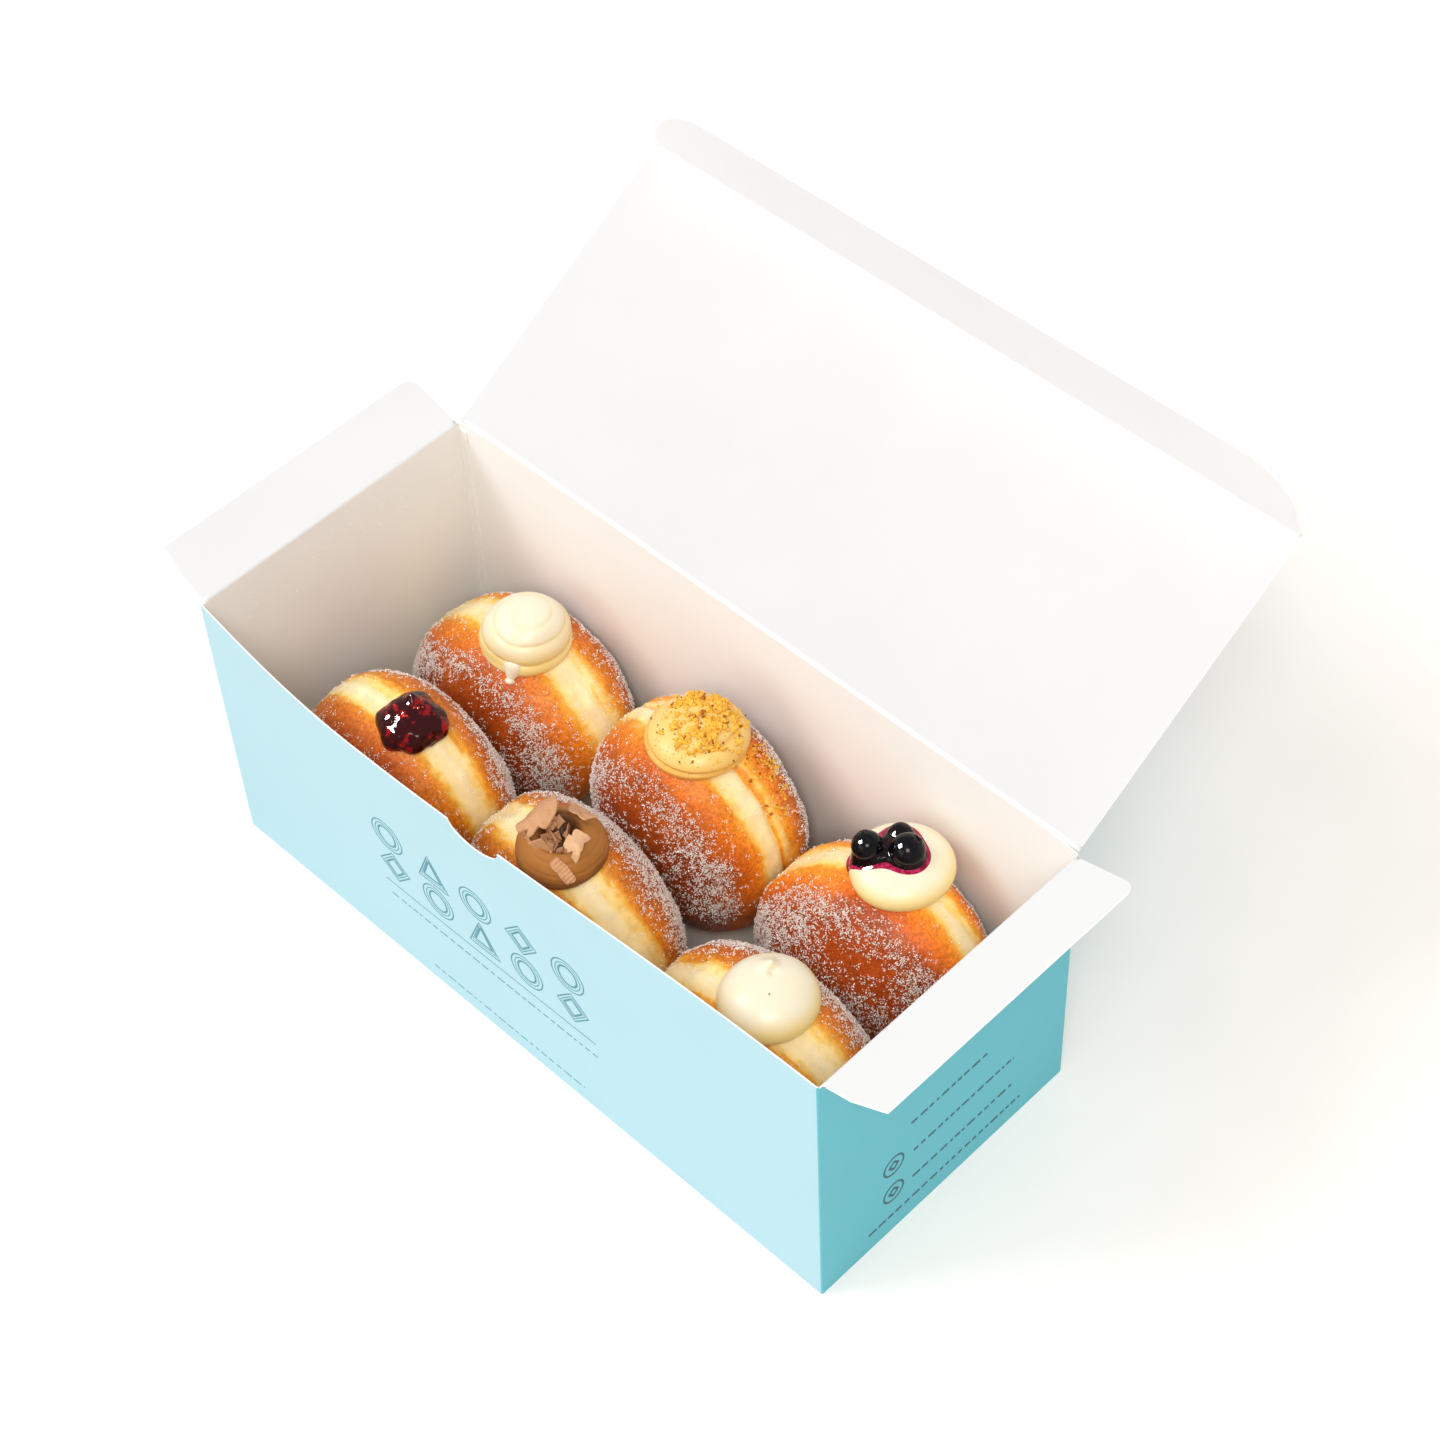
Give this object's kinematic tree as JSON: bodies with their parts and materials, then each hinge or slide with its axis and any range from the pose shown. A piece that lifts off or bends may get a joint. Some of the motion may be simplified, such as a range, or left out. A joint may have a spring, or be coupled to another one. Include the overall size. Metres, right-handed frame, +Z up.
{
  "type": "box of doughnuts",
  "caption": "Open folding carton holding round filled doughnuts stood on edge in two rows, with a hinged tuck-in lid and two dust flaps.",
  "frame": {"origin": "centre of the carton's base, on its underside", "axes": "+X along the carton's length to the right of its front wall, +Y from the front wall to the back wall, +Z up"},
  "size_m": [0.3491, 0.2397, 0.2242],
  "materials": {
    "board": "matt printed outside, white inside",
    "fried_dough": null,
    "raspberry_jam": null,
    "custard": null,
    "caramel_cream": null,
    "chocolate": null,
    "blueberry_skin": null
  },
  "bodies": {
    "carton": {"carton_body": "board", "bun_jam": "fried_dough", "bun_custard_swirl": "fried_dough", "bun_chocolate": "fried_dough", "bun_caramel": "fried_dough", "bun_custard_dome": "fried_dough", "bun_blueberry": "fried_dough", "filling_jam": "raspberry_jam", "filling_custard_swirl": "custard", "filling_chocolate": "chocolate", "filling_caramel": "caramel_cream", "filling_custard_dome": "custard", "filling_blueberry": "custard", "blueberry_left": "blueberry_skin", "blueberry_right": "blueberry_skin", "blueberry_back": "blueberry_skin", "chocolate_shard_large": "chocolate", "chocolate_shard_right": "chocolate", "chocolate_shard_back": "chocolate", "chocolate_ribbon": "chocolate"},
    "lid": {"lid_panel": "board"},
    "tuck": {"tuck_flap": "board"},
    "dust_left": {"dust_flap_left": "board"},
    "dust_right": {"dust_flap_right": "board"}
  },
  "joints": [
    {"name": "lid_hinge", "type": "hinge", "parent": "carton", "child": "lid", "pos_m": [0, 0.0638, 0.1259], "axis": [-1, 0, 0], "range_deg": [-148.8, 101.2]},
    {"name": "tuck_hinge", "type": "hinge", "parent": "lid", "child": "tuck", "pos_m": [0, 0.17038, 0.19045], "axis": [1, 0, 0], "range_deg": [-17, 26]},
    {"name": "dust_left_hinge", "type": "hinge", "parent": "carton", "child": "dust_left", "pos_m": [-0.1506, 0, 0.1247], "axis": [0, -1, 0], "range_deg": [-160.7, 104]},
    {"name": "dust_right_hinge", "type": "hinge", "parent": "carton", "child": "dust_right", "pos_m": [0.1506, 0, 0.1247], "axis": [0, 1, 0], "range_deg": [-164.4, 100]}
  ],
  "couplings": [
    {"joint": "tuck_hinge", "follows": "lid_hinge", "ratio": -0.1647}
  ]
}
